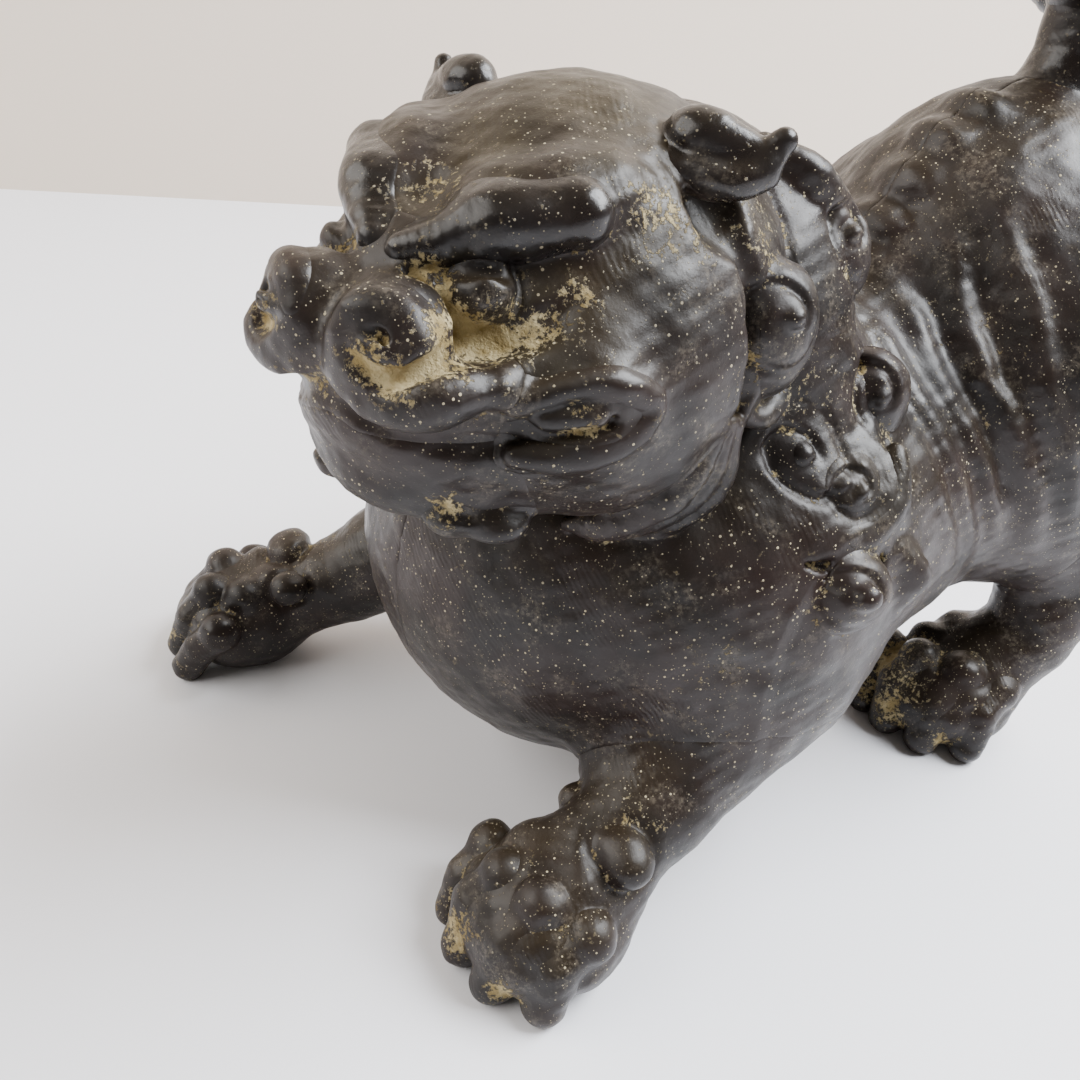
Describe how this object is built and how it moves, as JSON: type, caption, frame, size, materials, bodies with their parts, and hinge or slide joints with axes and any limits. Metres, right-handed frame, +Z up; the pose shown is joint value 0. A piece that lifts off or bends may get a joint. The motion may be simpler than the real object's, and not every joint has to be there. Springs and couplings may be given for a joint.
{
  "type": "foo dog statue",
  "caption": "Guardian lion figure in unglazed dark stoneware, chest low and tail up, with hollow pressed body halves, hollow head and luted clay trim.",
  "frame": {"origin": "centre of the figure's bounding box, on the surface that it stands on", "axes": "+Z up; -Y is the way the lion faces, so +X is the lion's left side"},
  "size_m": [0.1112, 0.1496, 0.1489],
  "materials": {
    "body_clay": "unglazed dark brown stoneware with a satin ash bloom",
    "crown_clay": "the same stoneware, olive brown where more ash settled",
    "burnished_clay": "the same stoneware, burnished before firing, nearly black and glossier"
  },
  "bodies": {
    "root": {"beard_curl_left": "body_clay", "beard_curl_right": "body_clay", "brow_left": "burnished_clay", "brow_right": "burnished_clay", "ear_left": "burnished_clay", "ear_right": "burnished_clay", "eye_left": "body_clay", "eye_right": "body_clay", "foreleg_left": "body_clay", "foreleg_right": "body_clay", "head_shell": "crown_clay", "hindleg_left": "body_clay", "hindleg_right": "body_clay", "jaw_lock_left": "body_clay", "jaw_lock_right": "body_clay", "lower_jaw": "body_clay", "mane_curl_collar_left": "body_clay", "mane_curl_collar_right": "body_clay", "mane_curl_nape_left": "body_clay", "mane_curl_nape_right": "body_clay", "mane_curl_shoulder_left": "body_clay", "mane_curl_shoulder_right": "body_clay", "mane_curl_temple_left": "body_clay", "mane_curl_temple_right": "body_clay", "mane_curl_throat_left": "body_clay", "mane_curl_throat_right": "body_clay", "mane_curl_wither_left": "body_clay", "mane_curl_wither_right": "body_clay", "mouth_curl_left": "body_clay", "mouth_curl_right": "body_clay", "muzzle": "body_clay", "nostril_left": "body_clay", "nostril_right": "body_clay", "tail_flame": "burnished_clay", "tail_lock_left": "burnished_clay", "tail_lock_right": "burnished_clay", "tail_stem": "burnished_clay", "toe_fore_left_1": "body_clay", "toe_fore_left_2": "body_clay", "toe_fore_left_3": "body_clay", "toe_fore_left_4": "body_clay", "toe_fore_right_1": "body_clay", "toe_fore_right_2": "body_clay", "toe_fore_right_3": "body_clay", "toe_fore_right_4": "body_clay", "toe_hind_left_1": "body_clay", "toe_hind_left_2": "body_clay", "toe_hind_left_3": "body_clay", "toe_hind_left_4": "body_clay", "toe_hind_right_1": "body_clay", "toe_hind_right_2": "body_clay", "toe_hind_right_3": "body_clay", "toe_hind_right_4": "body_clay", "torso_left": "body_clay", "torso_right": "body_clay", "wrist_tuft_left": "body_clay", "wrist_tuft_right": "body_clay"}
  },
  "joints": []
}
